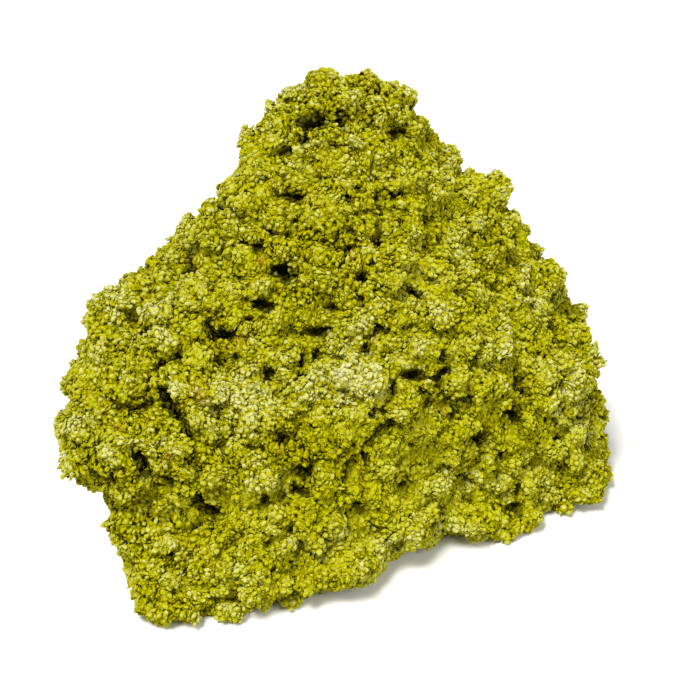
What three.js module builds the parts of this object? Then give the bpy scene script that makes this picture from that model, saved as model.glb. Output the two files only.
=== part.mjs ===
// A hand-sized lump of nontronite, a yellow-green iron clay, broken loose from its vein.
// It is one solid. Millimetres, +Z up, the floor at Z = 0, +X along its longest side.

import * as THREE from 'three';
import { ImprovedNoise } from 'three/addons/math/ImprovedNoise.js';
import { mergeVertices } from 'three/addons/utils/BufferGeometryUtils.js';

// Overall size of the lump.
const WIDTH = 69;
const DEPTH = 59;
const HEIGHT = 56;

// Every point of the skin is seen straight from this point inside the lump.
const CORE = new THREE.Vector3( 0, - 1, 20 );

// Cuts along each edge of the starting icosahedron: 20 * ( EDGE_CUTS + 1 )^2 triangles.
const EDGE_CUTS = 19;

// The skin is looked for from this far out, in steps, and then by halving the last step.
const FAR_OUT = 60;
const STEP = 0.5;
const HALVINGS = 12;

// How softly the broken faces round off into each other, and how softly a swelling joins them.
const ROUNDING = 1.6;
const BLEND = 1.5;

// The broken faces that bound the lump: compass bearing in degrees from +X towards +Y, pitch
// above the horizon, and a point that the face passes through.
const FACES = [
	{ name: 'front', bearing: - 93, pitch: 30, through: [ 2, - 16, 25 ] },
	{ name: 'front right wall', bearing: - 61, pitch: 2, through: [ 8, - 15.5, 5 ] },
	{ name: 'right slope', bearing: - 35, pitch: 36, through: [ 20, 0, 30 ] },
	{ name: 'right end', bearing: 3, pitch: 2, through: [ 33.5, 3, 10 ] },
	{ name: 'upper right slope', bearing: 37, pitch: 41, through: [ 15.5, 12, 43 ] },
	{ name: 'right back slope', bearing: 22, pitch: 28, through: [ 25.5, 12, 26 ] },
	{ name: 'back right', bearing: 48, pitch: 15, through: [ 24, 22, 8 ] },
	{ name: 'back wall', bearing: 95, pitch: 12, through: [ 0, 31, 3 ] },
	{ name: 'back slope', bearing: 85, pitch: 40, through: [ 2, 15, 50 ] },
	{ name: 'back left', bearing: 135, pitch: 15, through: [ - 22, 20, 8 ] },
	{ name: 'left back slope', bearing: 153, pitch: 33, through: [ - 20, 3, 41 ] },
	{ name: 'left end', bearing: 178, pitch: - 2, through: [ - 34.5, - 12, 20 ] },
	{ name: 'left front', bearing: - 140, pitch: 22, through: [ - 27, - 20, 20 ] },
	{ name: 'left undercut', bearing: - 155, pitch: - 25, through: [ - 31, - 16, 8 ] },
	{ name: 'lower left wall', bearing: - 165, pitch: 0, through: [ - 30, - 18, 2 ] },
	{ name: 'front wall', bearing: - 97, pitch: 10, through: [ - 15, - 27.5, 2 ] },
	{ name: 'top', bearing: 0, pitch: 88, through: [ 1, 8, 54 ] },
	{ name: 'underside', bearing: 0, pitch: - 90, through: [ 0, 0, - 0.3 ] },
];

// Rounded masses that stand out of the broken faces: centre and half-sizes along X, Y and Z.
const SWELLINGS = [
	{ name: 'summit knob', at: [ - 2.5, 8, 45 ], half: [ 11, 9, 11.5 ] },
	{ name: 'left shoulder', at: [ - 20.5, - 6, 26 ], half: [ 12, 11, 11 ] },
	{ name: 'left belly', at: [ - 12, - 13, 16 ], half: [ 12, 9, 10 ] },
	{ name: 'left overhang', at: [ - 26, - 12, 18.5 ], half: [ 9.5, 11, 9 ] },
	{ name: 'front toe', at: [ - 18, - 17, 3 ], half: [ 11, 8.5, 8 ] },
];

// Hollows in the broken faces: centre and half-sizes along X, Y and Z.
const HOLLOWS = [
	{ name: 'dip left of the neck', at: [ - 28, 6, 51 ], half: [ 11, 12, 12 ] },
	{ name: 'dip right of the neck', at: [ 16.5, 10, 57 ], half: [ 9, 12, 10 ] },
];

const noise = new ImprovedNoise();

// Small rounded lumps with creases between them: wavelength and height.
const LUMPS = [
	{ every: 17, high: 2.2 },
	{ every: 8, high: 1.3 },
	{ every: 4.2, high: 0.7 },
];

// The part of a lump's height that lies below the mean skin.
const SUNK_SHARE = 0.25;

// The unit vector along a compass bearing and a pitch.
function headingTo( bearing, pitch ) {

	const level = THREE.MathUtils.degToRad( bearing );
	const rise = THREE.MathUtils.degToRad( pitch );
	return new THREE.Vector3(
		Math.cos( level ) * Math.cos( rise ),
		Math.sin( level ) * Math.cos( rise ),
		Math.sin( rise ),
	);

}

const walls = FACES.map( ( { bearing, pitch, through } ) => {

	const normal = headingTo( bearing, pitch );
	return new THREE.Plane().setFromNormalAndCoplanarPoint( normal, new THREE.Vector3( ...through ) );

} );

// Signed distance in mm, roughly, from a point to the skin of an ellipsoid.
function toEllipsoid( point, { at, half } ) {

	const reach = Math.hypot(
		( point.x - at[ 0 ] ) / half[ 0 ],
		( point.y - at[ 1 ] ) / half[ 1 ],
		( point.z - at[ 2 ] ) / half[ 2 ],
	);
	return ( reach - 1 ) * Math.min( ...half );

}

// The largest of some distances, rounded off where two are close.
function softMax( distances, rounding ) {

	const largest = Math.max( ...distances );
	let sum = 0;
	for ( const distance of distances ) sum += Math.exp( ( distance - largest ) / rounding );
	return largest + rounding * Math.log( sum );

}

// Signed distance in mm, roughly, from a point to the skin without its small lumps.
function toBody( point ) {

	const toFaces = softMax( walls.map( ( wall ) => wall.distanceToPoint( point ) ), ROUNDING );
	const inside = [ - toFaces, ...SWELLINGS.map( ( swelling ) => - toEllipsoid( point, swelling ) ) ];
	const toMass = - softMax( inside, BLEND );
	return softMax( [ toMass, ...HOLLOWS.map( ( hollow ) => - toEllipsoid( point, hollow ) ) ], BLEND );

}

// Height of the rounded lumps on the skin at a point.
function lumpHeight( point ) {

	let height = 0;
	for ( const { every, high } of LUMPS ) {

		const crease = Math.abs( noise.noise( point.x / every, point.y / every, point.z / every ) );
		height += high * ( crease - SUNK_SHARE );

	}

	return height;

}

// Distance from the core to the skin along a direction, found from outside inwards.
function skinDistance( direction ) {

	const probe = new THREE.Vector3();
	const outsideAt = ( reach ) => {

		probe.copy( CORE ).addScaledVector( direction, reach );
		return toBody( probe ) - lumpHeight( probe ) > 0;

	};

	let outside = FAR_OUT;
	while ( outsideAt( outside ) ) outside -= STEP;
	let inside = outside;
	outside += STEP;
	for ( let halving = 0; halving < HALVINGS; halving ++ ) {

		const middle = ( inside + outside ) / 2;
		if ( outsideAt( middle ) ) outside = middle;
		else inside = middle;

	}

	return inside;

}

// The closed skin of the lump, cut off flat where it rests on the floor.
function lumpGeometry() {

	const ball = new THREE.IcosahedronGeometry( 1, EDGE_CUTS );
	ball.deleteAttribute( 'normal' );
	ball.deleteAttribute( 'uv' );
	const geometry = mergeVertices( ball, 1e-5 );
	const position = geometry.attributes.position;
	const direction = new THREE.Vector3();
	const point = new THREE.Vector3();
	for ( let index = 0; index < position.count; index ++ ) {

		direction.fromBufferAttribute( position, index ).normalize();
		const toFloor = direction.z < 0 ? - CORE.z / direction.z : Infinity;
		const reach = skinDistance( direction );
		point.copy( CORE ).addScaledVector( direction, Math.min( reach, toFloor ) );
		if ( toFloor < reach ) point.z = 0;
		position.setXYZ( index, point.x, point.y, point.z );

	}

	return fitToSize( geometry );

}

// Moves and stretches the skin so that it measures exactly the overall size, on the floor.
function fitToSize( geometry ) {

	geometry.computeBoundingBox();
	const { min, max } = geometry.boundingBox;
	geometry.translate( - ( min.x + max.x ) / 2, - ( min.y + max.y ) / 2, - min.z );
	geometry.scale( WIDTH / ( max.x - min.x ), DEPTH / ( max.y - min.y ), HEIGHT / ( max.z - min.z ) );
	geometry.computeVertexNormals();
	return geometry;

}

const clay = new THREE.MeshStandardMaterial( { color: 0x98941d, roughness: 0.95, metalness: 0 } );
const lump = new THREE.Mesh( lumpGeometry(), clay );
lump.name = 'nontronite_mass';

const group = new THREE.Group();
group.add( lump );

export default group;
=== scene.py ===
"""Looks of a hand-sized lump of nontronite, a crumbly yellow-green iron clay.

The lump is built up the way the mineral grew. A closed body carries rounded clumps, crowded
together with dark gaps between them, and a crust of small granules covers the clumps. The
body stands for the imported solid, and every piece rides on the one body of the part.
Lengths are named in millimetres and turned to metres where the mesh is made.
"""

import logging
import math
from dataclasses import dataclass, field
from enum import Enum

import bpy
import numpy as np
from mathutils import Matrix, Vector, kdtree, noise
from mathutils.bvhtree import BVHTree


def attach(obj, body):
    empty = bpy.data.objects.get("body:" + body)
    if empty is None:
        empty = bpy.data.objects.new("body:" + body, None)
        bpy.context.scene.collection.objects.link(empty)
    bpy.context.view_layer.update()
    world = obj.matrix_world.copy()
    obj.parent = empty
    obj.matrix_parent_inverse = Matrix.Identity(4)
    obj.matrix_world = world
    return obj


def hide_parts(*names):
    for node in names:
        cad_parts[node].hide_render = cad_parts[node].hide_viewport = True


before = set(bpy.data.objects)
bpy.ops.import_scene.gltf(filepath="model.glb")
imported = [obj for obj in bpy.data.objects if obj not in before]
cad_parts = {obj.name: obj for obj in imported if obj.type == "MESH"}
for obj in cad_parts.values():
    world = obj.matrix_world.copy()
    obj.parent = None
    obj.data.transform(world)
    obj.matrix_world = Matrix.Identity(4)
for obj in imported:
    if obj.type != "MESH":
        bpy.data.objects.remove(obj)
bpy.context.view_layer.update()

Array = np.ndarray
Random = np.random.Generator
Piece = bpy.types.Object
Material = bpy.types.Material

LOG = logging.getLogger("nontronite")
CAD_NODE = "nontronite_mass"
CAD_BODY = "root"
MM = 0.001
TINY = 1e-9
SEED = 20241
# Keeps the places that noise is read at above zero, where it has creases.
NOISE_ORIGIN = 64.3
# The share of a cell of the colour map that a shape fills.
MAP_SHARE = 0.92


class Stage(Enum):
    """Steps of the making that each have a random source of their own."""

    PITS = 1
    CLUMPS = 2
    GRANULES = 3


def fresh_random(stage: Stage) -> Random:
    """Starts the random source of one step, so that a change to one leaves the others alone."""
    return np.random.default_rng([SEED, stage.value])


# ---------------------------------------------------------------------------
# Camera


@dataclass(frozen=True)
class Viewpoint:
    """Where the camera stands: it looks along +Y and down at the lump.

    Lengths are in millimetres and angles in degrees.
    """

    target: tuple[float, float, float] = (0.3, 0.0, 20.8)
    distance: float = 243.0
    elevation: float = 35.0
    lens: float = 100.0
    sensor: float = 36.0
    nearest: float = 10.0
    farthest: float = 20000.0
    frame_pixels: float = 700.0

    def forward(self) -> Array:
        """Returns the unit vector that the camera looks along."""
        tilt = math.radians(self.elevation)
        return np.array([0.0, math.cos(tilt), -math.sin(tilt)])

    def eye(self) -> Array:
        """Returns the camera's place."""
        return np.array(self.target) - self.forward() * self.distance

    def ray(self, pixel: tuple[float, float]) -> Array:
        """Finds the direction from the eye through a pixel of the square frame.

        Args:
            pixel: Pixels from the left and from the top.

        Returns:
            The unit vector of the ray.
        """
        forward = self.forward()
        right = np.array([1.0, 0.0, 0.0])
        up = np.cross(right, forward)
        pixels_across = self.lens / self.sensor * self.frame_pixels
        middle = self.frame_pixels / 2
        aside = (pixel[0] - middle) / pixels_across
        above = (middle - pixel[1]) / pixels_across
        ray = forward + right * aside + up * above
        return ray / np.linalg.norm(ray)

    def build(self) -> None:
        """Adds the camera and makes it the scene's own."""
        bpy.ops.object.camera_add(
            location=tuple(self.eye() * MM),
            rotation=(math.radians(90.0 - self.elevation), 0.0, 0.0),
        )
        camera = bpy.context.object
        camera.name = "studio_camera"
        camera.data.lens = self.lens
        camera.data.sensor_width = self.sensor
        camera.data.clip_start = self.nearest * MM
        camera.data.clip_end = self.farthest * MM
        bpy.context.scene.camera = camera


# ---------------------------------------------------------------------------
# Marks: places on the lump that stand out


@dataclass(frozen=True)
class Mark:
    """A feature of the skin at a named place, seen from the camera.

    Attributes:
        name: What it is.
        pixels: One pixel, or the pixels of a line that it follows.
        wide: Half its width in millimetres.
        amount: Millimetres that it rises, negative where it sinks, or its strength of colour.
    """

    name: str
    pixels: tuple[tuple[float, float], ...]
    wide: float
    amount: float


# Gaps and pits, deeper than the crevices between the clumps.
HOLLOWS = (
    Mark("hole under the summit", ((303, 117), (320, 114)), 1.2, -3.0),
    Mark("slit under the summit", ((343, 112), (346, 122)), 0.8, -2.4),
    Mark("deep hole at the waist", ((279, 272), (287, 274)), 1.1, -3.4),
    Mark("hole below the waist", ((259, 303), (268, 307)), 0.9, -2.4),
    Mark("hole on the shoulder", ((222, 331), (232, 330)), 0.9, -2.8),
    Mark("hole above the waist", ((250, 245), (256, 249)), 0.8, -2.4),
    Mark("upper left hole", ((291, 193), (296, 197)), 0.9, -2.2),
    Mark("upper middle hole", ((345, 230), (352, 231)), 0.6, -1.8),
    Mark("upper right hole", ((432, 214), (440, 217)), 1.0, -2.5),
    Mark("middle slit", ((376, 335), (387, 334)), 0.5, -2.0),
    Mark("slit below it", ((365, 349), (367, 352)), 0.6, -1.8),
    Mark("middle cave", ((410, 375), (422, 377)), 0.8, -3.0),
    Mark("cave by its side", ((438, 377), (452, 371)), 0.5, -2.3),
    Mark("gap left of the cave", ((397, 379), (399, 385)), 0.5, -2.0),
    Mark("gap below the cave", ((393, 391), (396, 393)), 0.6, -2.0),
    Mark("gap at the crossing", ((428, 397), (432, 400)), 0.6, -2.0),
    Mark("long shaded step", ((372, 448), (390, 436), (404, 428)), 0.8, -1.6),
    Mark("step above it", ((374, 416), (390, 417)), 0.6, -2.2),
    Mark("right slit", ((455, 409), (466, 405)), 0.5, -2.0),
    Mark("ring pit", ((508, 354), (514, 354)), 0.8, -2.2),
    Mark("lower left cave", ((197, 512), (214, 518)), 0.8, -2.3),
    Mark("low middle hole", ((300, 475), (313, 476)), 0.9, -2.7),
    Mark("low middle slit", ((298, 496), (306, 498)), 0.8, -2.8),
    Mark("low right slit", ((359, 514), (366, 516)), 0.7, -2.4),
    Mark("crevice above the nodule", ((162, 392), (172, 405), (182, 420)), 0.8, -2.8),
    Mark("crevice beside the nodule", ((182, 420), (190, 434), (192, 448)), 0.6, -2.6),
    Mark("crevice under the nodule", ((136, 464), (147, 476), (166, 481)), 0.8, -2.6),
    Mark("shoulder crease", ((108, 406), (128, 409), (152, 404)), 0.6, -1.8),
    Mark("hole below the shoulder", ((222, 358), (225, 361)), 0.8, -2.9),
    Mark("right flank hole", ((512, 413), (521, 414)), 0.8, -2.2),
    Mark("right foot slit", ((507, 508), (516, 510)), 0.8, -2.2),
    Mark("right upper hole", ((484, 261), (489, 263)), 0.7, -2.0),
    Mark("right edge slit", ((562, 318), (568, 328)), 0.7, -1.8),
    Mark("right edge hole", ((570, 339), (574, 342)), 0.7, -1.8),
    Mark("left edge cave", ((97, 474), (112, 480)), 0.8, -2.2),
    Mark("overhang cave", ((140, 478), (156, 480)), 0.8, -2.6),
    Mark("hole right of the ring", ((474, 357), (478, 360)), 0.6, -1.8),
    Mark("low right hole", ((452, 467), (456, 470)), 0.6, -1.8),
    Mark("hole right of the summit", ((404, 124), (411, 127)), 0.9, -2.4),
    Mark("hole left of the neck", ((273, 152), (279, 154)), 0.6, -1.6),
    Mark("gap left of the middle", ((314, 336), (322, 338)), 0.6, -2.0),
    Mark("hole by the shoulder", ((173, 355), (178, 357)), 0.8, -2.0),
    Mark("fold under the brow", ((352, 470), (364, 457), (374, 450)), 0.7, -1.6),
    Mark("fold under the upper face", ((376, 212), (384, 240)), 0.6, -1.5),
    Mark("gap in the middle face", ((358, 274), (363, 277)), 0.7, -2.4),
    Mark("gap by the protruding lump", ((278, 434), (285, 438)), 0.6, -2.0),
)

# Lumps and knobs that stand out of the broken faces.
SWELLINGS = (
    Mark("round nodule", ((166, 447),), 2.6, 2.0),
    Mark("protruding lump", ((240, 408), (254, 426)), 2.8, 1.6),
    Mark("wedge-shaped lump", ((186, 382), (200, 402)), 2.0, 1.5),
    Mark("shelf under the wedge", ((216, 446),), 1.8, 1.2),
    Mark("clump by the cave", ((404, 393), (412, 398)), 1.6, 0.9),
    Mark("bright brow", ((354, 370), (368, 400)), 2.2, 0.6),
    Mark("knob above the step", ((395, 405), (430, 345)), 1.4, 0.5),
    Mark("ring rim", ((503, 346), (519, 346), (522, 358)), 1.0, 0.6),
    Mark("nub on the right edge", ((598, 338),), 1.2, 0.8),
    Mark("lower left boss", ((214, 569),), 2.4, 0.8),
    Mark("lower right boss", ((401, 535),), 2.0, 0.7),
)

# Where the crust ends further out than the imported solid.
OUTLINE_BULGES = (
    Mark("right edge below the nub", ((592, 362), (590, 378)), 2.4, 1.8),
    Mark("lower right corner", ((590, 486),), 2.6, 3.0),
    Mark("foot right of the notch", ((520, 514), (480, 522)), 2.4, 2.6),
    Mark("middle of the foot", ((370, 556), (342, 568)), 2.4, 3.2),
    Mark("left end of the foot", ((190, 610), (156, 602)), 2.4, 1.4),
    Mark("flank above the toe", ((124, 526),), 2.6, 3.0),
    Mark("left overhang's corner", ((84, 462),), 2.6, 2.6),
    Mark("left edge", ((78, 387),), 2.4, 1.8),
    Mark("left shoulder's edge", ((103, 322), (118, 296)), 2.4, 1.6),
    Mark("left side of the neck", ((248, 152),), 2.0, 1.6),
    Mark("summit's right end", ((364, 76),), 2.0, 0.8),
    Mark("right shoulder's corner", ((488, 188),), 2.2, 2.0),
)

# Where it ends further in.
OUTLINE_DENTS = (
    Mark("right end", ((605, 405), (610, 446)), 3.0, -3.8),
    Mark("notch in the foot", ((449, 541),), 2.8, -3.2),
    Mark("foot right of the step", ((535, 536), (565, 514)), 2.6, -2.6),
    Mark("foot left of the notch", ((397, 561),), 2.6, -0.8),
    Mark("low left of the foot", ((232, 616), (186, 628)), 2.6, -2.2),
    Mark("toe's edge", ((120, 576),), 2.8, -2.4),
    Mark("step under the overhang", ((95, 498),), 3.0, -1.2),
    Mark("left end", ((50, 424), (52, 440)), 3.2, -2.6),
    Mark("slope above the shoulder", ((104, 284), (132, 268), (160, 246)), 3.0, -2.2),
    Mark("slope to the neck", ((180, 224), (202, 200)), 3.0, -2.6),
    Mark("left of the summit", ((269, 103), (325, 68)), 2.6, -0.8),
    Mark("dip right of the neck", ((434, 128), (454, 146)), 3.0, -4.2),
    Mark("upper right edge", ((522, 216),), 2.8, -1.6),
    Mark("upper right slope", ((574, 302), (582, 312)), 3.0, -3.2),
)

# Brighter places, and darker ones with a negative strength: partly the clay's own tone, partly
# painted light where the light falls and painted shade in folds and crevices.
TONES_AND_PAINTED_LIGHT = (
    Mark("fresh foot", ((335, 545), (395, 532)), 3.0, 0.9),
    Mark("fresh middle right", ((430, 447), (400, 478), (450, 500)), 3.2, 0.8),
    Mark("brow's right end", ((385, 385), (405, 370)), 2.4, 0.5),
    Mark("bright brow", ((352, 372), (368, 405)), 2.8, 1.0),
    Mark("ridge right of the cave", ((500, 345), (545, 300)), 3.2, 0.5),
    Mark("right flank", ((592, 412), (592, 440)), 2.8, 1.0),
    Mark("right foot", ((480, 490), (540, 490)), 3.2, 0.4),
    Mark("rise above the foot", ((250, 492), (275, 496)), 2.8, 1.0),
    Mark("upper right face", ((430, 275),), 3.6, 0.6),
    Mark("left of the middle", ((255, 380), (265, 372)), 2.4, 0.7),
    Mark("darker summit", ((310, 110), (350, 92), (400, 120)), 4.5, -0.8),
    Mark("darker waist", ((275, 250), (308, 245), (300, 290)), 2.8, -0.8),
    Mark("darker middle face", ((335, 250), (390, 268)), 3.0, -0.7),
    Mark("darker upper right fold", ((490, 245), (485, 315)), 2.4, -0.5),
    Mark("darker shoulder fold", ((208, 330), (222, 352)), 2.6, -0.9),
    Mark("darker left crevice", ((108, 410), (160, 412)), 2.2, -1.0),
    Mark("darker nodule fold", ((130, 468), (200, 458), (285, 462)), 2.4, -0.9),
    Mark("darker left edge", ((90, 470), (125, 510), (128, 545)), 3.2, -0.8),
    Mark("darker toe", ((150, 588),), 2.6, -1.0),
    Mark("darker foot edge", ((300, 590), (345, 588)), 2.2, -0.7),
    Mark("darker right edge", ((575, 338),), 2.2, -0.6),
    Mark("darker right hole", ((530, 415),), 2.0, -0.7),
    Mark("darker right corner", ((595, 490),), 2.2, -0.9),
    Mark("darker low fold", ((295, 432), (322, 470)), 2.6, -0.9),
)

# Places with more pale dust, and with less where the strength is negative. The pale colour is also
# a painted highlight, as the material shows it most on what is bright already and faces up.
PALE_PATCHES = (
    Mark("nodule's left cheek", ((154, 445), (160, 458)), 1.8, 0.9),
    Mark("protruding lump", ((244, 405), (254, 425)), 2.6, 1.0),
    Mark("wedge-shaped lump", ((184, 384), (204, 402)), 2.0, 1.0),
    Mark("left shoulder", ((100, 370), (118, 348), (150, 300)), 4.5, 0.4),
    Mark("upper left slope", ((180, 250),), 4.0, 0.3),
    Mark("left belly", ((95, 420), (120, 440)), 3.5, 0.4),
    Mark("summit", ((300, 105), (390, 110)), 5.5, 0.8),
    Mark("upper middle", ((300, 180), (360, 200)), 4.0, 0.4),
    Mark("bright brow", ((352, 372), (368, 405)), 2.8, 0.7),
    Mark("upper brow", ((330, 391), (372, 340)), 2.4, 0.7),
    Mark("middle lump", ((257, 383),), 1.8, 0.7),
    Mark("ring", ((505, 348), (518, 352)), 1.4, 0.5),
    Mark("right flank", ((597, 385), (590, 440)), 3.4, 0.7),
    Mark("lower right boss", ((401, 535),), 2.2, 0.5),
    Mark("lower left boss", ((200, 565), (214, 569)), 2.6, 0.6),
    Mark("grey foot", ((286, 551),), 1.6, 0.7),
    Mark("yellow middle right", ((400, 455), (450, 440), (520, 450)), 5.0, -1.0),
    Mark("yellow middle face", ((370, 480), (330, 440)), 3.5, -0.6),
    Mark("yellow foot", ((200, 530), (300, 520), (400, 510)), 5.0, -0.5),
)

# Rust-coloured specks.
STAINS = (
    Mark("orange chip", ((260, 260),), 0.45, 0.7),
    Mark("summit spot", ((305, 91),), 0.45, 0.4),
    Mark("summit right spot", ((371, 82),), 0.45, 0.4),
    Mark("left spot", ((112, 429),), 0.5, 0.45),
    Mark("foot spot", ((283, 451),), 0.5, 0.4),
    Mark("low spot", ((370, 480),), 0.45, 0.4),
    Mark("right spot", ((449, 421),), 0.5, 0.35),
    Mark("brown patch", ((246, 337),), 0.8, 0.35),
    Mark("nodule spot", ((166, 457),), 0.5, 0.5),
    Mark("wedge spots", ((194, 388), (204, 401)), 0.5, 0.4),
    Mark("pinkish fleck", ((350, 255),), 0.5, 0.35),
    Mark("pinkish crumb", ((373, 340),), 0.45, 0.4),
)

class Falloff(Enum):
    """How sharply a mark ends: the power of its bell curve."""

    STEEP = 3.0
    SOFT = 2.0


class MarkField:
    """Marks laid on a surface, ready to be felt at any place."""

    STEP_PIXELS = 5.0

    def __init__(self, marks: tuple[Mark, ...], surface: "Surface", view: Viewpoint) -> None:
        """Lays each mark's line on the surface.

        Args:
            marks: The marks.
            surface: The surface that they lie on.
            view: The camera that their pixels belong to.
        """
        self.laid = []
        for mark in marks:
            trail = [surface.seen(view.eye(), view.ray(pixel)) for pixel in self.walk(mark)]
            trail = [place for place in trail if place is not None]
            if trail:
                self.lay(np.array(trail), mark.wide, mark.amount)

    def lay(self, trail: Array, wide: float, amount: float) -> None:
        """Adds a mark along a line of places, with half its width and its amount."""
        self.laid.append((trail, wide, amount))

    def walk(self, mark: Mark) -> list[tuple[float, float]]:
        """Steps along a mark's line.

        Args:
            mark: The mark.

        Returns:
            Pixels a few apart from its first to its last.
        """
        steps = [mark.pixels[0]]
        for start, end in zip(mark.pixels, mark.pixels[1:]):
            pieces = max(1, math.ceil(math.dist(start, end) / self.STEP_PIXELS))
            for piece in range(1, pieces + 1):
                share = piece / pieces
                steps.append(tuple(a + (b - a) * share for a, b in zip(start, end)))
        return steps

    def gaps(self, places: Array, trail: Array) -> Array:
        """Measures how far places are from a mark's line.

        Args:
            places: Places in millimetres, one a row.
            trail: The places that the line goes through.

        Returns:
            The distance from each place to the nearest of the line's.
        """
        nearest = np.full(len(places), np.inf)
        for stop in trail:
            nearest = np.minimum(nearest, np.linalg.norm(places - stop, axis=1))
        return nearest

    def felt(self, places: Array, falloff: Falloff) -> Array:
        """Adds up the marks at some places.

        Args:
            places: Places in millimetres, one a row.
            falloff: How sharply the marks end.

        Returns:
            The sum of the marks' amounts at each place.
        """
        total = np.zeros(len(places))
        for trail, wide, amount in self.laid:
            total += amount * np.exp(-((self.gaps(places, trail) / wide) ** falloff.value))
        return total

    def beyond(self, places: Array) -> Array:
        """Measures how far places are from the nearest mark's edge.

        Args:
            places: Places in millimetres, one a row.

        Returns:
            The distance to the edge, negative inside it.
        """
        nearest = np.full(len(places), np.inf)
        for trail, wide, _ in self.laid:
            nearest = np.minimum(nearest, self.gaps(places, trail) - wide)
        return nearest


# ---------------------------------------------------------------------------
# Surfaces and crowds


def read_vertices(mesh: bpy.types.Mesh, name: str) -> Array:
    """Reads a three-number property of every vertex.

    Args:
        mesh: The mesh.
        name: The property.

    Returns:
        One row for each vertex.
    """
    values = np.empty(len(mesh.vertices) * 3, dtype=np.float64)
    mesh.vertices.foreach_get(name, values)
    return values.reshape(-1, 3)


def read_triangles(mesh: bpy.types.Mesh) -> Array:
    """Reads which three vertices each triangle of a mesh joins.

    Args:
        mesh: The mesh.

    Returns:
        One row for each triangle.
    """
    mesh.calc_loop_triangles()
    corners = np.empty(len(mesh.loop_triangles) * 3, dtype=np.int32)
    mesh.loop_triangles.foreach_get("vertices", corners)
    return corners.reshape(-1, 3)


def facings(corners: Array) -> Array:
    """Finds where triangles face, as vectors twice as long as their areas."""
    return np.cross(corners[:, 1] - corners[:, 0], corners[:, 2] - corners[:, 0])


def unit(vectors: Array) -> Array:
    """Scales each row to length one."""
    return vectors / np.maximum(np.linalg.norm(vectors, axis=1, keepdims=True), TINY)


class Surface:
    """A closed triangle mesh held as arrays, in millimetres."""

    def __init__(self, piece: Piece) -> None:
        """Reads a mesh object.

        Args:
            piece: The object, which stands at the origin.
        """
        self.triangles = read_triangles(piece.data)
        self.places = read_vertices(piece.data, "co") / MM
        self.normals = read_vertices(piece.data, "normal")
        self.tree = BVHTree.FromPolygons(self.places.tolist(), self.triangles.tolist())

    def seen(self, eye: Array, ray: Array) -> Array | None:
        """Finds where a ray from the eye first meets the surface, or None where it misses."""
        place = self.tree.ray_cast(Vector(eye), Vector(ray))[0]
        return None if place is None else np.array(place)

    def scatter(self, per_mm2: float, rng: Random) -> tuple[Array, Array]:
        """Drops points at random all over the surface.

        Args:
            per_mm2: Points for each square millimetre.
            rng: The random source.

        Returns:
            The points, and the surface's normal at each.
        """
        areas = np.linalg.norm(facings(self.places[self.triangles]), axis=1) / 2
        count = int(areas.sum() * per_mm2)
        chosen = rng.choice(len(areas), size=count, p=areas / areas.sum())
        first = np.sqrt(rng.random(count))[:, None]
        second = rng.random(count)[:, None]
        weights = np.hstack([1 - first, first * (1 - second), first * second])
        triangles = self.triangles[chosen]
        points = np.einsum("nk,nkj->nj", weights, self.places[triangles])
        normals = np.einsum("nk,nkj->nj", weights, self.normals[triangles])
        return points, unit(normals)

    def feet(self, places: Array) -> Array:
        """Finds the nearest point of the surface to each place."""
        return np.array([self.tree.find_nearest(place)[0] for place in places.tolist()])

    def heights(self, places: Array) -> Array:
        """Measures how far places stand off the surface.

        Args:
            places: Places in millimetres, one a row.

        Returns:
            The distance to the surface, negative inside.
        """
        found = np.empty(len(places))
        for index, place in enumerate(places.tolist()):
            nearest, normal, _, gap = self.tree.find_nearest(place)
            found[index] = math.copysign(gap, (Vector(place) - nearest).dot(normal))
        return found


def power_sizes(count: int, least: float, most: float, fall: float, rng: Random) -> Array:
    """Draws sizes whose number falls by the power `fall` as the size grows."""
    return np.minimum(least * (1.0 - rng.random(count)) ** (-1.0 / fall), most)


def noise_spots(places: Array, size: float) -> list[list[float]]:
    """Turns places in millimetres to where a noise of that wavelength is read."""
    return (places / size + NOISE_ORIGIN).tolist()


def feel_noise(places: Array, size: float) -> Array:
    """Reads smooth noise, from about -1 to 1, at places in millimetres."""
    spots = noise_spots(places, size)
    return np.array([noise.noise(spot, noise_basis="PERLIN_NEW") for spot in spots])


def feel_share(places: Array, size: float, contrast: float = 1.0) -> Array:
    """Reads smooth noise as a share from 0 to 1 at places in millimetres."""
    return np.clip(feel_noise(places, size) * contrast + 0.5, 0.0, 1.0)


def feel_shift(places: Array, size: float) -> Array:
    """Reads a smooth random shift, of about unit length at most, at places in millimetres."""
    spots = noise_spots(places, size)
    return np.array([noise.noise_vector(spot, noise_basis="PERLIN_NEW") for spot in spots])


def off_floor(places: Array, normals: Array, underside: float, size: float) -> Array:
    """Tells which places don't face down at the floor within a size of it."""
    return ~((normals[:, 2] < underside) & (places[:, 2] < size))


def point_tree(places: Array) -> kdtree.KDTree:
    """Sorts places into a tree that finds neighbours fast.

    Args:
        places: The places, one a row.

    Returns:
        The tree.
    """
    tree = kdtree.KDTree(len(places))
    for index, place in enumerate(places.tolist()):
        tree.insert(place, index)
    tree.balance()
    return tree


def crowd(places: Array, radii: Array, closeness: float) -> Array:
    """Keeps the balls that fit beside each other, the largest first.

    Args:
        places: Centres that may be used.
        radii: The radius of the ball at each.
        closeness: Least distance between two centres, as a share of their radii's sum.

    Returns:
        The indices of the balls that are kept.
    """
    tree = point_tree(places)
    free = np.ones(len(places), dtype=bool)
    sizes = radii.tolist()
    kept = []
    for index in np.argsort(-radii, kind="stable").tolist():
        if not free[index]:
            continue
        kept.append(index)
        size = sizes[index]
        for _, other, gap in tree.find_range(places[index], 2 * size * closeness):
            if gap < (size + sizes[other]) * closeness:
                free[other] = False
    return np.array(kept)


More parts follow.
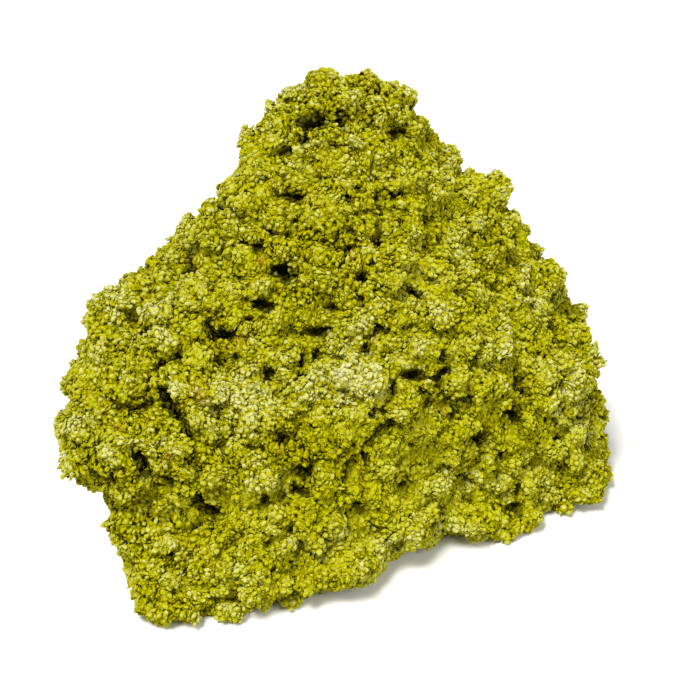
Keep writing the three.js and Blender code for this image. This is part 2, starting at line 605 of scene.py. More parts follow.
def frames_on(normals: Array, lean: float, rng: Random) -> Array:
    """Builds turned axes whose third axis stands near each normal.

    Args:
        normals: Unit normals, one a row.
        lean: How far the third axis may lean, as the tangent of the angle.
        rng: The random source.

    Returns:
        A 3 by 3 matrix for each normal, its axes in its columns.
    """
    upright = unit(normals + rng.normal(0.0, lean, normals.shape))
    sideways = unit(np.cross(upright, rng.normal(0.0, 1.0, normals.shape)))
    across = np.cross(upright, sideways)
    return np.stack([sideways, across, upright], axis=2)


@dataclass
class Stamp:
    """A small closed shape of unit radius that is set down many times."""

    places: Array
    triangles: Array

    @classmethod
    def lift(cls) -> "Stamp":
        """Takes the shape of the newest object, made at the origin, and removes the object.

        Returns:
            The stamp.
        """
        piece = bpy.context.object
        mesh = piece.data
        stamp = cls(read_vertices(mesh, "co"), read_triangles(mesh))
        bpy.data.objects.remove(piece)
        bpy.data.meshes.remove(mesh)
        return stamp

    @classmethod
    def ball(cls) -> "Stamp":
        """Makes a ball of 20 triangles."""
        bpy.ops.mesh.primitive_ico_sphere_add(subdivisions=1, radius=1.0)
        return cls.lift()

    @classmethod
    def dome(cls, sides: int) -> "Stamp":
        """Makes a low dome with a flat base: a point above a ring."""
        bpy.ops.mesh.primitive_cone_add(vertices=sides, radius1=1.0, radius2=0.0, depth=1.0)
        return cls.lift()

    def tips(self) -> Array:
        """Tells how high each corner stands, from 0 at the lowest to 1 at the highest."""
        heights = self.places[:, 2]
        return (heights - heights.min()) / np.ptp(heights)

    def unfolded(self) -> Array:
        """Lays the triangles out flat on a unit square.

        Returns:
            For each triangle, its three corners: the upper side is seen from above in the
            square's left half, and the lower side in its right half.
        """
        flat = self.places[:, :2]
        flat = (flat - flat.min(axis=0)) / np.ptp(flat, axis=0)
        below = facings(self.places[self.triangles])[:, 2] < 0
        laid = flat[self.triangles] * MAP_SHARE + (1 - MAP_SHARE) / 2
        laid[:, :, 0] = (laid[:, :, 0] + below[:, None]) / 2
        return laid


@dataclass
class Layer:
    """One kind of small shape, with the place, turn and size of each copy."""

    stamp: Stamp
    centres: Array
    axes: Array
    sizes: Array
    rough: float

    def set_down(self, chosen: Array, rng: Random) -> tuple[Array, Array]:
        """Sets the shape down once for each chosen copy, with its corners pushed in or out.

        Args:
            chosen: True for each copy that is wanted.
            rng: The random source.

        Returns:
            Every copy's corners, one block for each copy, and all the triangles.
        """
        shape = self.stamp.places
        centres = self.centres[chosen]
        push = 1 + rng.uniform(-self.rough, self.rough, (len(centres), len(shape), 1))
        local = shape[None] * push * self.sizes[chosen][:, None, :]
        corners = np.einsum("nij,nkj->nki", self.axes[chosen], local) + centres[:, None, :]
        starts = np.arange(len(centres))[:, None, None] * len(shape)
        return corners, (self.stamp.triangles[None] + starts).reshape(-1, 3)


@dataclass(frozen=True)
class Warp:
    """A gentle crumpling of space that takes the roundness off whatever lies in it.

    Lengths are in millimetres.
    """

    sizes: tuple[float, ...] = (2.6, 1.3)
    shifts: tuple[float, ...] = (0.65, 0.24)

    def bend(self, places: Array) -> Array:
        """Moves places by a smooth random shift.

        Args:
            places: Places in millimetres, one a row.

        Returns:
            The moved places, none below the floor.
        """
        moved = places.copy()
        for size, shift in zip(self.sizes, self.shifts):
            moved += shift * feel_shift(places, size)
        moved[:, 2] = np.where(places[:, 2] > self.shifts[0], moved[:, 2], places[:, 2])
        moved[:, 2] = np.maximum(moved[:, 2], 0.0)
        return moved


def select_only(piece: Piece) -> None:
    """Selects one object and makes it the active one.

    Args:
        piece: The object.
    """
    bpy.ops.object.select_all(action="DESELECT")
    piece.select_set(True)
    bpy.context.view_layer.objects.active = piece


def make_piece(name: str, places: Array, triangles: Array) -> Piece:
    """Makes a smooth-shaded mesh object at the origin.

    Args:
        name: Its name.
        places: Its vertices in millimetres.
        triangles: Its triangles.

    Returns:
        The object.
    """
    mesh = bpy.data.meshes.new(name)
    mesh.vertices.add(len(places))
    mesh.vertices.foreach_set("co", (places * MM).ravel())
    mesh.loops.add(len(triangles) * 3)
    mesh.loops.foreach_set("vertex_index", triangles.ravel().astype(np.int32))
    mesh.polygons.add(len(triangles))
    mesh.polygons.foreach_set("loop_start", np.arange(0, len(triangles) * 3, 3, dtype=np.int32))
    mesh.update(calc_edges=True)
    mesh.validate()
    piece = bpy.data.objects.new(name, mesh)
    bpy.context.collection.objects.link(piece)
    select_only(piece)
    bpy.ops.object.shade_smooth()
    LOG.info("%s: %d triangles", name, len(mesh.polygons))
    return piece


def write_map(piece: Piece, laid: Array) -> None:
    """Gives a piece the map that its colours can be stored on, a place for each corner."""
    layer = piece.data.uv_layers.new(name="OFBake", do_init=False)
    layer.uv.foreach_set("vector", laid.astype(np.float32).ravel())


def write_attribute(piece: Piece, name: str, values: Array) -> None:
    """Stores a number at every vertex for the material to read."""
    attribute = piece.data.attributes.new(name, "FLOAT", "POINT")
    attribute.data.foreach_set("value", values.astype(np.float32).ravel())


def atlas(layers: list[Layer], counts: list[int]) -> Array:
    """Gives each copy of each small shape a cell of its own on the unit square.

    Args:
        layers: The kinds of small shape.
        counts: How many copies of each there are.

    Returns:
        For each corner of each triangle, its place on the square.
    """
    side = math.ceil(math.sqrt(sum(counts)))
    laid = []
    first = 0
    for layer, count in zip(layers, counts):
        cells = np.arange(first, first + count)
        first += count
        origins = np.stack([cells % side, cells // side], axis=1)
        corners = layer.stamp.unfolded().reshape(-1, 2)
        laid.append(((origins[:, None, :] + corners[None]) / side).reshape(-1, 2))
    return np.vstack(laid)


def six_sided(piece: Surface) -> Array:
    """Lays a surface out flat as seen from its six sides, three above three.

    Args:
        piece: The surface.

    Returns:
        For each corner of each triangle, its place on the unit square.
    """
    low = piece.places.min(axis=0)
    unit_places = (piece.places - low) / np.ptp(piece.places, axis=0)
    facing = facings(piece.places[piece.triangles])
    axis = np.abs(facing).argmax(axis=1)
    row = np.take_along_axis(facing, axis[:, None], axis=1)[:, 0] < 0
    laid = np.empty((len(facing), 3, 2))
    for side in range(3):
        others = [other for other in range(3) if other != side]
        chosen = axis == side
        laid[chosen] = unit_places[piece.triangles[chosen]][:, :, others]
    laid = laid * MAP_SHARE + (1 - MAP_SHARE) / 2
    laid[:, :, 0] = (laid[:, :, 0] + axis[:, None]) / 3
    laid[:, :, 1] = (laid[:, :, 1] + row[:, None]) / 2
    return laid


def apply_modifier(piece: Piece, kind: str, **settings: object) -> None:
    """Adds a modifier and applies it.

    Args:
        piece: The object, which is the selected one.
        kind: The modifier's type.
        **settings: Its settings.
    """
    modifier = piece.modifiers.new(kind.lower(), kind)
    for setting, value in settings.items():
        setattr(modifier, setting, value)
    bpy.ops.object.modifier_apply(modifier=modifier.name)


# ---------------------------------------------------------------------------
# Body and clumps


@dataclass(frozen=True)
class Relief:
    """The lumps and hollows of the body's skin, a few millimetres across.

    Lengths are in millimetres.
    """

    inset: float = 2.08
    ceiling: float = -0.35
    slack: float = 0.35
    knob_sizes: tuple[float, ...] = (8.5, 4.8)
    knob_rises: tuple[float, ...] = (2.0, 1.5)
    knob_middle: float = 0.5
    billow_sizes: tuple[float, ...] = (5.6, 2.7)
    billow_rises: tuple[float, ...] = (0.9, 0.7)
    billow_steep: float = 3.0
    billow_top: float = 1.5
    billow_middle: float = 0.6
    lump_shares: tuple[float, float] = (0.5, 1.5)
    region_size: float = 11.0
    skew_size: float = 6.0
    skew: float = 1.6
    pits_per_mm2: float = 0.11
    pit_wide: tuple[float, float] = (0.3, 0.75)
    pit_deep: tuple[float, float] = (1.4, 3.0)
    facing: float = -0.25
    share_in_view: float = 0.85
    proud_from: float = 0.35
    footing: float = 1.6

    def lumps(self, places: Array) -> Array:
        """Raises rounded knobs, and billows with sharp creases between them.

        Args:
            places: Places in millimetres, one a row.

        Returns:
            The rise at each place.
        """
        skewed = places + self.skew * feel_shift(places, self.skew_size)
        least, most = self.lump_shares
        share = least + (most - least) * feel_share(places, self.region_size)
        rise = np.zeros(len(places))
        for size, high in zip(self.knob_sizes, self.knob_rises):
            for index, spot in enumerate(noise_spots(skewed, size)):
                nearest = noise.voronoi(spot)[0][0]
                rise[index] += high * (self.knob_middle - nearest * nearest)
        for size, high in zip(self.billow_sizes, self.billow_rises):
            steep = self.billow_steep * np.abs(feel_noise(skewed, size))
            rise += high * (np.minimum(steep, self.billow_top) - self.billow_middle)
        return rise * share

    def add_pits(self, hollows: MarkField, swellings: MarkField, surface: Surface,
                 view: Viewpoint, rng: Random) -> None:
        """Adds small pits here and there all round the lump, fewer among the named hollows.

        Args:
            hollows: The hollows, which the pits are added to.
            swellings: The swellings, which stay whole.
            surface: The surface that the pits start from.
            view: The camera, which faces the named hollows.
            rng: The random source.
        """
        spots, normals = surface.scatter(self.pits_per_mm2, rng)
        proud = swellings.felt(spots, Falloff.SOFT) > self.proud_from
        for spot, normal, whole in zip(spots, normals, proud):
            wide = rng.uniform(*self.pit_wide)
            deep = rng.uniform(*self.pit_deep)
            in_view = float(normal @ view.forward()) < self.facing
            if rng.random() > (self.share_in_view if in_view else 1.0):
                continue
            if spot[2] > self.footing + wide and not whole:
                hollows.lay(spot[None], wide, -deep)

    def grip(self, places: Array) -> Array:
        """Fades the relief out towards the floor, so that the underside stays flat."""
        return np.clip(places[:, 2] / self.footing, 0.0, 1.0)


@dataclass
class Clumps:
    """Rounded clumps of clay crowded on the skin. Lengths are in millimetres."""

    smallest: float = 0.5
    largest: float = 1.35
    fall: float = 1.8
    closeness: float = 0.6
    tries_per_mm2: float = 3.4
    stand_off: tuple[float, float] = (-0.65, 0.1)
    drift: float = 1.1
    drift_size: float = 2.4
    missing_at_most: float = 0.32
    gap_size: float = 7.0
    gap_contrast: float = 1.4
    hollow_share: float = 0.42
    stretch: tuple[float, float] = (0.65, 1.3)
    lean: float = 1.0
    rough: float = 0.06
    underside: float = -0.8
    turned_in: float = -0.6

    def grow(self, clay: "ClayBody", rng: Random) -> None:
        """Crowds clumps on the skin, clear of the hollows.

        Args:
            clay: The body, with its smooth skin and its relief.
            rng: The random source.
        """
        places, normals = clay.outer.scatter(self.tries_per_mm2, rng)
        free = off_floor(places, normals, self.underside, self.largest)
        places, normals = places[free], normals[free]
        radii = power_sizes(len(places), self.smallest, self.largest, self.fall, rng)
        keep = crowd(places, radii, self.closeness)
        places, normals, radii = places[keep], normals[keep], radii[keep]
        stand = rng.uniform(*self.stand_off, len(keep)) * radii
        stand += self.drift * feel_noise(places, self.drift_size)
        gappy = feel_share(places, self.gap_size, self.gap_contrast)
        stays = rng.random(len(keep)) > self.missing_at_most * gappy
        stays &= clay.hollows.beyond(places) > radii * self.hollow_share
        self.radii = radii[stays]
        self.normals = normals[stays]
        self.axes = frames_on(self.normals, self.lean, rng)
        self.halves = self.radii[:, None] * rng.uniform(*self.stretch, (len(self.radii), 3))
        self.centres = clay.raised(places[stays], self.normals, stand[stays])
        self.centres[:, 2] = np.maximum(self.centres[:, 2], self.radii)
        self.tree = point_tree(self.centres)
        LOG.info("clumps: %d", len(self.radii))

    def covers(self, places: Array, own: Array | None = None) -> Array:
        """Tells which places lie inside a clump.

        Args:
            places: Places in millimetres, one a row.
            own: For each place, the clump whose skin it is on, which doesn't count.

        Returns:
            True for each place inside a clump.
        """
        reach = float(self.halves.max())
        owners = [-1] * len(places) if own is None else own.tolist()
        pairs = [
            (index, clump)
            for index, place in enumerate(places.tolist())
            for _, clump, _ in self.tree.find_range(place, reach)
            if clump != owners[index]
        ]
        asked, near = np.array(pairs).T
        offsets = places[asked] - self.centres[near]
        local = np.einsum("nji,nj->ni", self.axes[near], offsets) / self.halves[near]
        inside = np.zeros(len(places), dtype=bool)
        inside[asked[(local ** 2).sum(axis=1) < 1.0]] = True
        return inside

    def scatter(self, per_mm2: float, rng: Random) -> tuple[Array, Array]:
        """Drops points at random on the clumps, where they stand clear of each other.

        Args:
            per_mm2: Points for each square millimetre.
            rng: The random source.

        Returns:
            The points, and the outward direction at each.
        """
        counts = (4 * math.pi * self.radii ** 2 * per_mm2).astype(int)
        own = np.repeat(np.arange(len(counts)), counts)
        ball = unit(rng.normal(0.0, 1.0, (len(own), 3)))
        outward = unit(np.einsum("nij,nj->ni", self.axes[own], ball / self.halves[own]))
        facing = (outward * self.normals[own]).sum(axis=1) > self.turned_in
        own, outward, ball = own[facing], outward[facing], ball[facing]
        shifts = np.einsum("nij,nj->ni", self.axes[own], ball * self.halves[own])
        places = self.centres[own] + shifts
        clear = ~self.covers(places, own)
        return places[clear], outward[clear]


@dataclass
class ClayBody:
    """The closed body of the lump, with its clumps. Lengths are in millimetres."""

    name: str = "nontronite_body"
    merge_gap: float = 0.001
    skin_voxel: float = 0.8
    facet_rounds: int = 12
    facet_pull: float = 0.5
    relief: Relief = Relief()
    clumps: Clumps = field(default_factory=Clumps)

    def build(self, view: Viewpoint) -> Piece:
        """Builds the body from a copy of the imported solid.

        Args:
            view: The camera that the marks belong to.

        Returns:
            The body.
        """
        skin = self.smooth_copy()
        self.outer = Surface(skin)
        self.hollows = MarkField(HOLLOWS, self.outer, view)
        self.swellings = MarkField(SWELLINGS + OUTLINE_BULGES + OUTLINE_DENTS, self.outer, view)
        pit_rng = fresh_random(Stage.PITS)
        self.relief.add_pits(self.hollows, self.swellings, self.outer, view, pit_rng)
        moved = self.raised(self.outer.places, self.outer.normals)
        skin.data.vertices.foreach_set("co", (moved * MM).ravel())
        skin.data.update()
        self.inner = Surface(skin)
        self.clumps.grow(self, fresh_random(Stage.CLUMPS))
        body = make_piece(self.name, Warp().bend(self.inner.places), self.inner.triangles)
        bpy.data.objects.remove(skin)
        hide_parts(CAD_NODE)
        return body

    def raised(self, places: Array, normals: Array, extra: Array | float = 0.0) -> Array:
        """Moves places of the smooth skin out or in to where the relief lies.

        Args:
            places: Places on the smooth skin in millimetres, one a row.
            normals: The smooth skin's normal at each.
            extra: Further rise at each place.

        Returns:
            The moved places. The underside stays flat on the floor.
        """
        rise = self.relief.lumps(places) - self.relief.inset + extra
        rise = np.minimum(rise, self.relief.ceiling + self.relief.slack * rise)
        rise += self.hollows.felt(places, Falloff.STEEP)
        rise += self.swellings.felt(places, Falloff.SOFT)
        shift = normals * rise[:, None]
        shift[:, 2] *= self.relief.grip(places)
        moved = places + shift
        moved[:, 2] = np.maximum(moved[:, 2], 0.0)
        return moved

    def smooth_copy(self) -> Piece:
        """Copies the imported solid, closes its seams and smooths away its facets.

        Returns:
            The copy.
        """
        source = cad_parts[CAD_NODE]
        copy = bpy.data.objects.new("skin", source.data.copy())
        bpy.context.collection.objects.link(copy)
        select_only(copy)
        bpy.ops.object.mode_set(mode="EDIT")
        bpy.ops.mesh.select_all(action="SELECT")
        bpy.ops.mesh.remove_doubles(threshold=self.merge_gap * MM)
        bpy.ops.object.mode_set(mode="OBJECT")
        apply_modifier(copy, "REMESH", mode="VOXEL", voxel_size=self.skin_voxel * MM)
        apply_modifier(copy, "SMOOTH", factor=self.facet_pull, iterations=self.facet_rounds)
        return copy


@dataclass
class Complexion:
    """What the clay's colour depends on from place to place.

    The body lies under the crust, so the traits that only a granule has are even on it.
    """

    clay: ClayBody
    view: Viewpoint
    # The body's lift and tip are set low, so it is painted dark, as painted shade, where it shows
    # between the clumps.
    body_tint: float = 0.5
    body_lift: float = 0.3
    body_tip: float = 0.3

    def __post_init__(self) -> None:
        """Lays the tones, the pale patches and the stains on the smooth skin."""
        self.tones, self.dust, self.stains = (
            MarkField(marks, self.clay.outer, self.view) for marks in (TONES_AND_PAINTED_LIGHT, PALE_PATCHES, STAINS)
        )

    def felt(self, places: Array) -> dict[str, Array]:
        """Reads the marks at some places.

        Args:
            places: Places in millimetres, one a row.

        Returns:
            For each of the material's attributes, its value at each place.
        """
        feet = self.clay.outer.feet(places)
        return {
            # Depth of the named hollow, which the material paints near-black as painted shade in
            # the holes.
            "hollow": -self.clay.hollows.felt(feet, Falloff.STEEP),
            # Tones, partly the clay's own and partly painted light and painted shade.
            "tone": self.tones.felt(feet, Falloff.SOFT),
            "dust": self.dust.felt(feet, Falloff.SOFT),
            "stain": self.stains.felt(feet, Falloff.STEEP),
        }

    def dress_body(self, body: Piece) -> None:
        """Stores the body's traits and its map.

        Args:
            body: The body.
        """
        traits = self.felt(self.clay.outer.places)
        even = {"tint": self.body_tint, "lift": self.body_lift, "tip": self.body_tip}
        for trait, value in even.items():
            traits[trait] = np.full(len(body.data.vertices), value)
        for trait, values in traits.items():
            write_attribute(body, trait, values)
        write_map(body, six_sided(Surface(body)))


# ---------------------------------------------------------------------------
# Granules


@dataclass
class GranuleCrust:
    """The crust of granules on the clumps, as a few joined meshes. Lengths are in millimetres."""

    smallest: float = 0.14
    largest: float = 0.35
    fall: float = 2.4
    closeness: float = 0.69
    tries_per_mm2: float = 20.0
    coarse_from: float = 0.34
    fine_below: float = 0.24
    dome_sides: int = 6
    fine_dome_sides: int = 5
    sunk: tuple[float, float] = (-0.2, 0.45)
    ground_lift: float = 0.1
    buried_below: float = -0.1
    floor_share: float = 0.9
    squash: tuple[float, float] = (0.65, 1.2)
    flat: tuple[float, float] = (0.75, 1.2)
    rough: float = 0.25
    lean: float = 0.4
    underside: float = -0.75
    hollow_top: float = 1.4
    crown_share: float = 0.2
    front_corner: float = 135.0
    names: tuple[str, ...] = ("crown", "front", "right", "back", "left")

    def build(self, clay: ClayBody, complexion: Complexion, rng: Random) -> list[Piece]:
        """Crowds granules on the body and joins them into pieces.

        Args:
            clay: The body's class, with its skins.
            complexion: What the colour depends on.
            rng: The random source.

        Returns:
            The pieces of the crust.
        """
        layers = self.layers(*self.crowded(clay, rng), clay.clumps, rng)
        split = self.regions(layers)
        pieces = []
        for number, name in enumerate(self.names):
            chosen = [region == number for region in split]
            pieces.append(self.join(name, layers, chosen, clay, complexion, rng))
        return pieces

    def crowded(self, clay: ClayBody, rng: Random) -> tuple[Array, Array, Array]:
        """Crowds granules on the clumps and on the bare skin between them.

        Args:
            clay: The body's class, with its skins.
            rng: The random source.

        Returns:
            For each granule, where it sits, the outward direction there and its radius.
        """
        places, normals = clay.clumps.scatter(self.tries_per_mm2, rng)
        above = clay.inner.heights(places) > self.buried_below
        ground, upward = clay.inner.scatter(self.tries_per_mm2, rng)
        bare = ~clay.clumps.covers(ground)
        ground += upward * self.ground_lift
        places = np.vstack([places[above], ground[bare]])
        normals = np.vstack([normals[above], upward[bare]])
        radii = power_sizes(len(places), self.smallest, self.largest, self.fall, rng)
        free = off_floor(places, normals, self.underside, self.largest)
        places, normals, radii = places[free], normals[free], radii[free]
        keep = crowd(places, radii, self.closeness)
        LOG.info("granules: %d", len(keep))
        return places[keep], normals[keep], radii[keep]

    def layers(self, places: Array, normals: Array, radii: Array, clumps: Clumps,
               rng: Random) -> list[Layer]:
        """Gives each granule its shape, coarse, middling or fine, and each clump its core.

        Args:
            places: Where the granules sit.
            normals: The outward direction at each.
            radii: Their radii.
            clumps: The clumps.
            rng: The random source.

        Returns:
            All the small shapes.
        """
        count = len(radii)
        centres = places - normals * (radii * rng.uniform(*self.sunk, count))[:, None]
        centres[:, 2] = np.maximum(centres[:, 2], radii * self.floor_share)
        sizes = radii[:, None] * rng.uniform(*self.squash, (count, 3))
        sizes[:, 2] = radii * rng.uniform(*self.flat, count)
        axes = frames_on(normals, self.lean, rng)
        coarse = radii > self.coarse_from
        fine = radii < self.fine_below
        ball = Stamp.ball()
        kinds = (
            (ball, coarse),
            (Stamp.dome(self.dome_sides), ~coarse & ~fine),
            (Stamp.dome(self.fine_dome_sides), fine),
        )
        granules = [
            Layer(stamp, centres[chosen], axes[chosen], sizes[chosen], self.rough)
            for stamp, chosen in kinds
        ]
        cores = Layer(ball, clumps.centres, clumps.axes, clumps.halves, clumps.rough)
        return [*granules, cores]

    def join(self, name: str, layers: list[Layer], chosen: list[Array], clay: ClayBody,
             complexion: Complexion, rng: Random) -> Piece:
        """Joins the small shapes of one region into a piece, and stores its traits and its map.

        Args:
            name: The region's name.
            layers: All the small shapes.
            chosen: For each layer, True for each shape in this region.
            clay: The body's class, with its skins.
            complexion: What the colour depends on.
            rng: The random source.

        Returns:
            The piece.
        """
        corners = []
        triangles = []
        traits = {"tint": [], "hollow": [], "tone": [], "dust": [], "stain": [], "tip": []}
        start = 0
        for layer, wanted in zip(layers, chosen):
            block, faces = layer.set_down(wanted, rng)
            block[:, :, 2] = np.maximum(block[:, :, 2], 0.0)
            felt = complexion.felt(layer.centres[wanted])
            felt["tint"] = rng.uniform(0.0, 1.0, len(block))
            for trait, values in felt.items():
                traits[trait].append(np.repeat(values, block.shape[1]))
            # Height of each corner on its granule, which the material paints paler at the top, a
            # painted highlight, and darker at the base, painted shade.
            traits["tip"].append(np.tile(layer.stamp.tips(), len(block)))
            corners.append(block.reshape(-1, 3))
            triangles.append(faces + start)
            start += block.shape[0] * block.shape[1]
        places = np.vstack(corners)
        piece = make_piece(f"granule_crust_{name}", Warp().bend(places), np.vstack(triangles))
        # Height of each corner off the body, which the material paints darker the lower it lies,
        # as painted shade in the gaps between clumps.
        lift = clay.inner.heights(places)
        write_attribute(piece, "lift", lift)
        for trait, parts in traits.items():
            values = np.concatenate(parts)
            # A granule that stands high over a hollow gets less of the hollow's painted shade.
            if trait == "hollow":
                values *= np.clip(self.hollow_top - lift, 0.0, 1.0)
            write_attribute(piece, trait, values)
        write_map(piece, atlas(layers, [int(wanted.sum()) for wanted in chosen]))
        return piece

    def regions(self, layers: list[Layer]) -> list[Array]:
        """Shares the small shapes out between the crown and four sides, alike in triangles.

        Args:
            layers: All the small shapes.

        Returns:
            For each layer, the number of each shape's region.
        """
        centres = np.vstack([layer.centres for layer in layers])
        costs = np.concatenate([
            np.full(len(layer.centres), len(layer.stamp.triangles)) for layer in layers
        ])
        region = np.zeros(len(centres), dtype=int)
        order = np.argsort(-centres[:, 2], kind="stable")
        spent = np.cumsum(costs[order]) / costs.sum()
        rest = order[spent >= self.crown_share]
        bearing = np.degrees(np.arctan2(centres[rest, 1], centres[rest, 0]))
        turn = np.mod(bearing + self.front_corner, 360.0)
        order = rest[np.argsort(turn, kind="stable")]
        spent = np.cumsum(costs[order]) / costs[order].sum()
        sides = len(self.names) - 1
        region[order] = 1 + np.minimum((spent * sides).astype(int), sides - 1)
        ends = np.cumsum([len(layer.centres) for layer in layers])[:-1]
        return np.split(region, ends)


# ---------------------------------------------------------------------------
# Materials


def colour(code: str) -> tuple[float, float, float, float]:
    """Turns an sRGB hex colour to linear light.

    Args:
        code: Six hex digits after a hash sign.

    Returns:
        Red, green, blue and an alpha of one.
    """
    linear = []
    for start in (1, 3, 5):
        level = int(code[start:start + 2], 16) / 255
        linear.append(level / 12.92 if level <= 0.04045 else ((level + 0.055) / 1.055) ** 2.4)
    return (*linear, 1.0)


def node(tree: bpy.types.NodeTree, kind: str, settings: dict[str, object] | None = None,
         links: dict[str | int, object] | None = None) -> bpy.types.Node:
    """Adds a shader node with its settings and its links.

    Args:
        tree: The material's node tree.
        kind: The end of the node's type, after ShaderNode.
        settings: Properties of the node by name.
        links: For an input's name or number, the output that feeds it or a constant.

    Returns:
        The node.
    """
    added = tree.nodes.new("ShaderNode" + kind)
    for name, value in (settings or {}).items():
        setattr(added, name, value)
    for name, value in (links or {}).items():
        if isinstance(value, bpy.types.NodeSocket):
            tree.links.new(value, added.inputs[name])
        else:
            added.inputs[name].default_value = value
    return added


@dataclass(frozen=True)
class Response:
    """How strongly something shows: it grows from `least` at `low` to `most` at `high`."""

    low: float
    high: float
    least: float
    most: float

    def to(self, value: bpy.types.NodeSocket) -> dict[str, object]:
        """Gives the inputs of a Map Range node that answers a value so.

        Args:
            value: The output that carries the value.

        Returns:
            The inputs by name.
        """
        return {
            "Value": value, "From Min": self.low, "From Max": self.high,
            "To Min": self.least, "To Max": self.most,
        }


@dataclass(frozen=True)
class DryIronClay:
    """Nontronite, broken and dry: matt and earthy, without any shine.

    Tips and thin edges are painted paler, as a painted highlight, and the clay is painted darker
    the lower it lies among the clumps, as painted shade. The granules' flanks keep a strong
    yellow-green, and the gaps between the clumps are painted brown-black, as painted shade. Pale
    dust lies in patches, and is painted more on what stands out and faces up, which is also
    painted light.
    """

    name: str = "nontronite_dry_clay"
    # The ramp from pit through shade and flesh to bright paints shade on what lies low and
    # highlight on what stands out, around the clay's own flesh colour; hole is painted shade in
    # the holes; tip is the colour of the pale dust and of the painted highlight.
    hole: str = "#171300"
    pit: str = "#292200"
    shade: str = "#7c7500"
    flesh: str = "#aaa600"
    bright: str = "#b6b425"
    tip: str = "#c6c58a"
    stain: str = "#a8762c"
    shade_at: float = 0.15
    flesh_at: float = 0.45
    roughness: float = 1.0
    specular: float = 0.03
    diffuse_roughness: float = 0.6

    # Grains 0.43 mm wide, ridges 0.77 mm apart and patches of dust 5 mm across. The grains and
    # ridges bump the surface and paint shade between the grains. The real grain is finer, and is
    # drawn as coarse as it needs to show.
    grains_per_mm: float = 2.3
    ridges_per_mm: float = 1.3
    patches_per_mm: float = 0.19
    grain_depth: float = -1.6
    bump: float = 0.7
    bump_mm: float = 0.16

    # What brightens the clay, over how far it stands out of the body, which is painted shade,
    # darker the lower the clay lies:
    # a granule's own tint, the nearness of its tip, a painted highlight at the top and painted
    # shade at the base, the tone of its place, partly painted light and shade, and its crumbs,
    # painted shade between the grains.
    raised: Response = Response(-0.2, 1.5, 0.03, 0.45)
    by_tint: float = 0.14
    by_tip: float = 0.36
    by_tone_and_painted_light: float = 0.17
    by_crumbs_and_shade: float = 0.46

    # Where the pale dust and painted highlight show: in the dust's patches, on faces that look up,
    # where dust settles and the light falls, and on what is bright already, as a painted
    # highlight.
    patchy: Response = Response(0.36, 0.68, 0.08, 1.0)
    facing_up: Response = Response(-0.35, 0.75, 0.15, 1.0)
    standing: Response = Response(0.58, 0.9, 0.0, 1.0)
    marked_patchy: float = 0.13
    marked_standing: float = 0.12
    # Painted shade: the depth of a named hollow darkens the clay towards the near-black hole
    # colour.
    sunk: Response = Response(0.3, 1.8, 0.0, 0.85)

    def build(self) -> Material:
        """Builds the material.

        Returns:
            The material.
        """
        material = bpy.data.materials.new(self.name)
        material.use_nodes = True
        tree = material.node_tree
        tree.nodes.clear()
        add = {"operation": "MULTIPLY_ADD"}
        eased = {"interpolation_type": "SMOOTHSTEP"}
        read = {
            trait: node(tree, "Attribute", {"attribute_name": trait}).outputs["Fac"]
            for trait in ("lift", "tint", "tip", "tone", "dust", "hollow", "stain")
        }
        own = node(tree, "TexCoord").outputs
        slope = node(tree, "SeparateXYZ", {}, {"Vector": own["Normal"]})
        grains = node(tree, "TexVoronoi", {"feature": "F1"}, {
            "Vector": own["Object"], "Scale": self.grains_per_mm / MM, "Randomness": 1.0,
        })
        ridges = node(tree, "TexNoise", {"noise_type": "RIDGED_MULTIFRACTAL"}, {
            "Vector": own["Object"], "Scale": self.ridges_per_mm / MM, "Detail": 1.0,
            "Roughness": 0.5, "Lacunarity": 2.3, "Offset": 1.0, "Gain": 2.0,
        })
        # The crumbs bump the surface, and through the level they also paint shade between the
        # grains.
        crumbs_and_shade = node(tree, "Math", add, {
            0: grains.outputs["Distance"], 1: self.grain_depth, 2: ridges.outputs["Fac"],
        }).outputs["Value"]
        # The level paints shade and highlight: darker where the clay lies low, at granule bases
        # and between grains, paler at the tips.
        level = node(tree, "MapRange", {}, self.raised.to(read["lift"])).outputs["Result"]
        for value, share in (
            (read["tint"], self.by_tint), (read["tip"], self.by_tip),
            (read["tone"], self.by_tone_and_painted_light), (crumbs_and_shade, self.by_crumbs_and_shade),
        ):
            level = node(tree, "Math", add, {0: value, 1: share, 2: level}).outputs["Value"]
        ramp = node(tree, "ValToRGB", {}, {"Fac": level})
        stops = ramp.color_ramp.elements
        stops[0].color = colour(self.pit)
        stops[1].color = colour(self.bright)
        for position, code in ((self.shade_at, self.shade), (self.flesh_at, self.flesh)):
            stops.new(position).color = colour(code)
        patch = node(tree, "TexNoise", {}, {
            "Vector": own["Object"], "Scale": self.patches_per_mm / MM, "Detail": 5.0,
            "Roughness": 0.65,
        })
        local, shown = (
            node(tree, "Math", add, {0: read["dust"], 1: share, 2: base}).outputs["Value"]
            for share, base in (
                (self.marked_patchy, patch.outputs["Fac"]), (self.marked_standing, level),
            )
        )
        dust = node(tree, "MapRange", eased, self.patchy.to(local)).outputs["Result"]
        # Dust and painted highlight show more on faces that look up and on what is bright already.
        for response, value in ((self.facing_up, slope.outputs["Z"]), (self.standing, shown)):
            share = node(tree, "MapRange", eased, response.to(value)).outputs["Result"]
            times = node(tree, "Math", {"operation": "MULTIPLY"}, {0: dust, 1: share})
            dust = times.outputs["Value"]
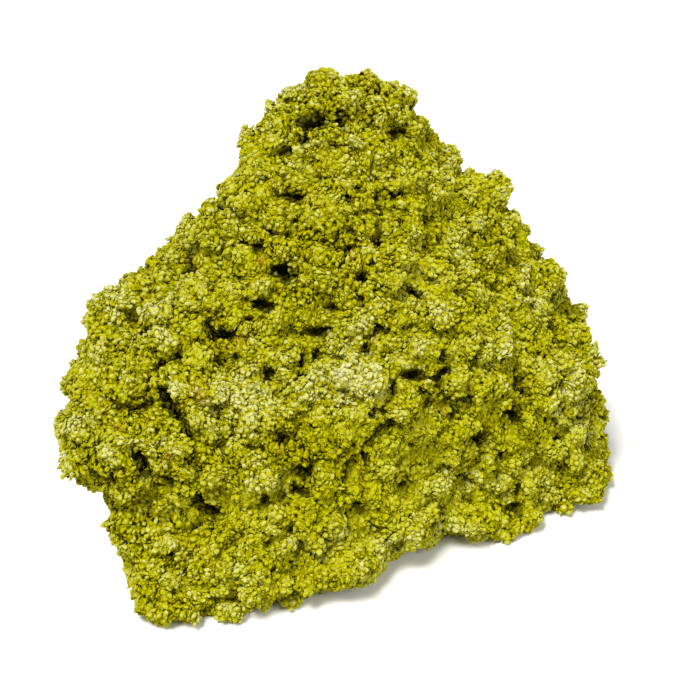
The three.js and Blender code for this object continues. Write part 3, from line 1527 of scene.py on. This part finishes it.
        # Painted shade: near-black in the named holes.
        sunk = node(tree, "MapRange", {}, self.sunk.to(read["hollow"])).outputs["Result"]
        paint = ramp.outputs["Color"]
        for share, code in ((dust, self.tip), (sunk, self.hole), (read["stain"], self.stain)):
            mix = {"Factor": share, 6: paint, 7: colour(code)}
            paint = node(tree, "Mix", {"data_type": "RGBA"}, mix).outputs[2]
        bump = node(tree, "Bump", {}, {
            "Height": crumbs_and_shade, "Strength": self.bump, "Distance": self.bump_mm * MM,
        })
        shader = node(tree, "BsdfPrincipled", {}, {
            "Base Color": paint, "Roughness": self.roughness, "Normal": bump.outputs["Normal"],
            "Specular IOR Level": self.specular, "Diffuse Roughness": self.diffuse_roughness,
        })
        node(tree, "OutputMaterial", {}, {"Surface": shader.outputs["BSDF"]})
        return material


@dataclass(frozen=True)
class PalePaper:
    """Seamless studio paper, matt and nearly white."""

    name: str = "studio_paper"
    tone: str = "#f4f4f2"

    def build(self) -> Material:
        """Builds the material.

        Returns:
            The material.
        """
        material = bpy.data.materials.new(self.name)
        material.use_nodes = True
        shader = material.node_tree.nodes["Principled BSDF"]
        shader.inputs["Base Color"].default_value = colour(self.tone)
        shader.inputs["Roughness"].default_value = 1.0
        shader.inputs["Specular IOR Level"].default_value = 0.0
        return material


# ---------------------------------------------------------------------------
# Studio


@dataclass(frozen=True)
class SoftLamp:
    """A distant soft light, so that the floor is as bright far off as near the lump."""

    name: str
    place: tuple[float, float, float]
    spread: float
    strength: float

    def build(self) -> None:
        """Adds the light, turned towards the lump. Its spread is in degrees."""
        bpy.ops.object.light_add(type="SUN", location=self.place)
        lamp = bpy.context.object
        lamp.name = self.name
        lamp.data.angle = math.radians(self.spread)
        lamp.data.energy = self.strength
        lamp.rotation_euler = (-Vector(self.place)).to_track_quat("-Z", "Y").to_euler()


@dataclass
class Studio:
    """A pale floor and soft light from above and in front. Lengths are in metres."""

    floor_side: float = 6.0
    surround: str = "#ffffff"
    surround_strength: float = 0.34
    lamps: tuple[SoftLamp, ...] = (
        SoftLamp("key_lamp", (-0.22, -0.3, 0.73), 20.0, 4.05),
        SoftLamp("side_lamp", (0.6, -0.3, 0.38), 30.0, 1.3),
    )

    def build(self) -> None:
        """Adds the floor, the lights and the pale surround."""
        bpy.ops.mesh.primitive_plane_add(size=self.floor_side)
        floor = bpy.context.object
        floor.name = "studio_floor"
        floor.data.materials.append(PalePaper().build())
        for lamp in self.lamps:
            lamp.build()
        world = bpy.data.worlds.new("pale_surround")
        world.use_nodes = True
        background = world.node_tree.nodes["Background"]
        background.inputs["Color"].default_value = colour(self.surround)
        background.inputs["Strength"].default_value = self.surround_strength
        bpy.context.scene.world = world
        bpy.context.scene.view_settings.view_transform = "Standard"


# ---------------------------------------------------------------------------
# Assembly


def main() -> None:
    """Builds the lump and its studio in order, and reports each piece."""
    logging.basicConfig(level=logging.INFO, format="%(name)s: %(message)s")
    noise.seed_set(SEED)
    view = Viewpoint()
    view.build()
    Studio().build()
    clay = ClayBody()
    body = clay.build(view)
    complexion = Complexion(clay, view)
    complexion.dress_body(body)
    crust = GranuleCrust().build(clay, complexion, fresh_random(Stage.GRANULES))
    finish = DryIronClay().build()
    for piece in (body, *crust):
        piece.data.materials.clear()
        piece.data.materials.append(finish)
        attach(piece, CAD_BODY)


if __name__ == "__main__":
    main()
